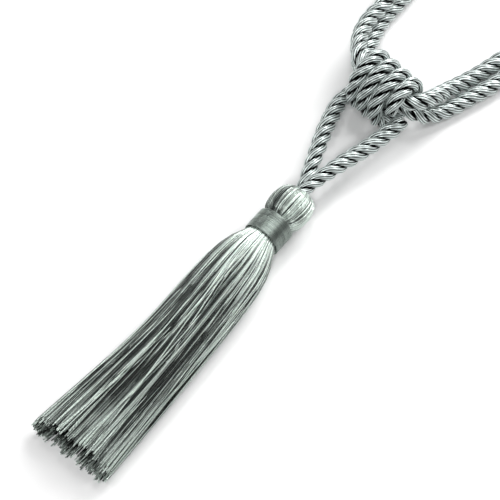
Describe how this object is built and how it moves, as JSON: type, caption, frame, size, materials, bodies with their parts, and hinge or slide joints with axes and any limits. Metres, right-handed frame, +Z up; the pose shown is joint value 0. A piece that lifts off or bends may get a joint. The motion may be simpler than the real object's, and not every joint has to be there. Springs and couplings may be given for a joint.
{
  "type": "curtain tieback tassel",
  "caption": "Satin thread tassel hung by a bight of twisted rope from a wound knot, with two rope arms that end in eyes for a wall hook",
  "frame": {"origin": "middle of the footprint of tassel, band and knot, on the surface they lie on", "axes": "+Y along the tassel from its cut end towards the knot and the arms, +X to the right seen from above with the arms away from you, +Z up off the surface"},
  "size_m": [0.108, 0.4565, 0.0348],
  "materials": {
    "tassel_thread": "glossy grey-green thread",
    "band_thread": "glossy thread wound close",
    "satin_rope": "three satin strands laid up"
  },
  "bodies": {
    "root": {"tassel": "tassel_thread", "neck_band": "band_thread", "knot_wrap": "satin_rope", "hanging_rope": "satin_rope", "arm_rope": "satin_rope"}
  },
  "joints": []
}
